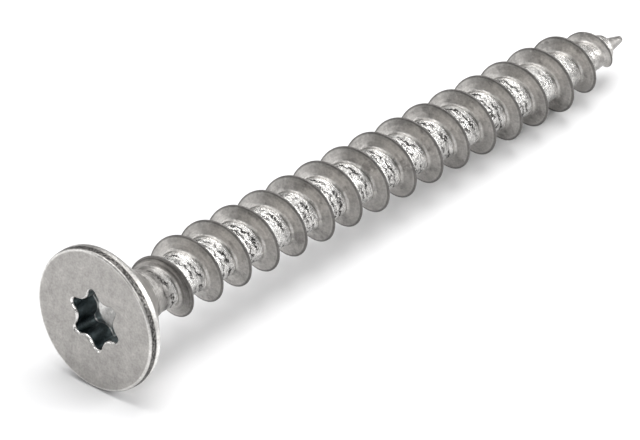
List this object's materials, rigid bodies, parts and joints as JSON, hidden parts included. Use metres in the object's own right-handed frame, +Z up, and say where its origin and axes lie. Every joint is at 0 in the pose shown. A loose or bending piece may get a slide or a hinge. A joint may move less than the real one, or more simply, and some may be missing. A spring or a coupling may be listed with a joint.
{
  "type": "wood screw",
  "caption": "Countersunk wood screw with a flat head, six-lobe drive recess, full-length right-hand thread and a small blunt point.",
  "frame": {"origin": "centre of the flat head face, on the screw's axis", "axes": "+Y along the axis from the head face to the point; +Z up as the screw lies; the flat head face looks towards -Y"},
  "size_m": [0.0094, 0.05, 0.0094],
  "materials": {
    "steel": "satin"
  },
  "bodies": {
    "root": {"screw": "steel"}
  },
  "joints": []
}
